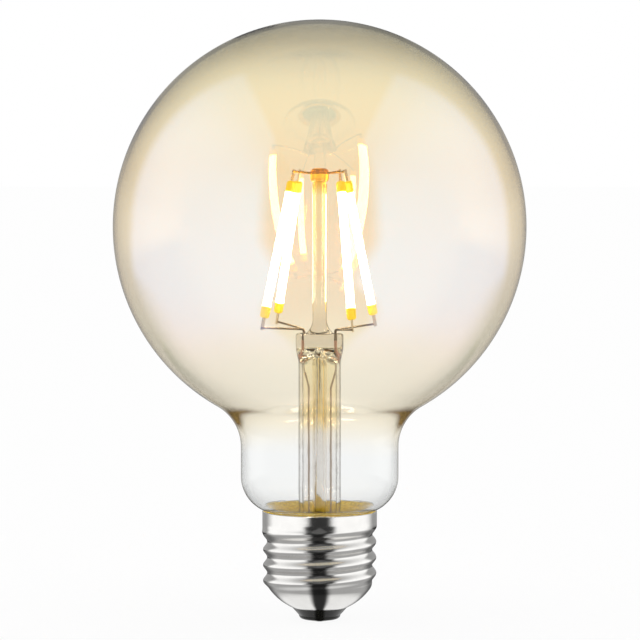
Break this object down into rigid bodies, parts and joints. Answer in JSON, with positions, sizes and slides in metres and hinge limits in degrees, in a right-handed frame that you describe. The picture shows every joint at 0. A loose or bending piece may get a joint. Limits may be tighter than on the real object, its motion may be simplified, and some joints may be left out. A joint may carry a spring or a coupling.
{
  "type": "globe bulb",
  "caption": "Globe lamp with an amber glass globe, clear neck, glass stem carrying light filaments on wires, and an E27 screw cap with a black insulator.",
  "frame": {"origin": "middle of the centre contact's lower face, on the lamp's axis", "axes": "+Z along the lamp's axis from the cap to the globe; X along the flat press of the stem"},
  "size_m": [0.095, 0.095, 0.1385],
  "materials": {
    "amber_glass": "clear glass with an amber coat that fades out at the neck",
    "clear_glass": "clear flame-worked glass",
    "nickel_shell": "thin rolled brass sheet, bright nickel plate",
    "black_insulator": "opaque black glass, glossy",
    "contact_metal": "tinned",
    "cap_cement": "ochre cap cement",
    "seal_copper": "copper-clad seal wire",
    "tinned_lead": "tinned copper wire",
    "nickel_wire": "drawn nickel wire and strip",
    "phosphor": "yellow phosphor resin, lit",
    "board_laminate": "green lacquered laminate",
    "part_epoxy": "black moulded epoxy",
    "capacitor_sleeve": "dark shrink sleeve",
    "resistor_ceramic": "dark glazed ceramic"
  },
  "bodies": {
    "root": {"glass_globe": "amber_glass", "glass_stem": "clear_glass", "exhaust_tube": "clear_glass", "centre_rod": "clear_glass", "cap_shell": "nickel_shell", "cap_insulator": "black_insulator", "centre_contact": "contact_metal", "cap_cement": "cap_cement", "seal_wire_left": "seal_copper", "seal_wire_right": "seal_copper", "outer_lead_left": "tinned_lead", "outer_lead_right": "tinned_lead", "contact_lead": "tinned_lead", "shell_lead": "tinned_lead", "support_wire_front_left": "nickel_wire", "support_wire_front_right": "nickel_wire", "support_wire_back_left": "nickel_wire", "support_wire_back_right": "nickel_wire", "top_wire_front": "nickel_wire", "top_wire_back": "nickel_wire", "filament_front_left_head_tab": "nickel_wire", "filament_front_left_foot_tab": "nickel_wire", "filament_front_right_head_tab": "nickel_wire", "filament_front_right_foot_tab": "nickel_wire", "filament_back_left_head_tab": "nickel_wire", "filament_back_left_foot_tab": "nickel_wire", "filament_back_right_head_tab": "nickel_wire", "filament_back_right_foot_tab": "nickel_wire", "filament_front_left": "phosphor", "filament_front_right": "phosphor", "filament_back_left": "phosphor", "filament_back_right": "phosphor", "driver_board": "board_laminate", "bridge_rectifier": "part_epoxy", "driver_chip": "part_epoxy", "filter_capacitor": "capacitor_sleeve", "fuse_resistor": "resistor_ceramic"}
  },
  "joints": []
}
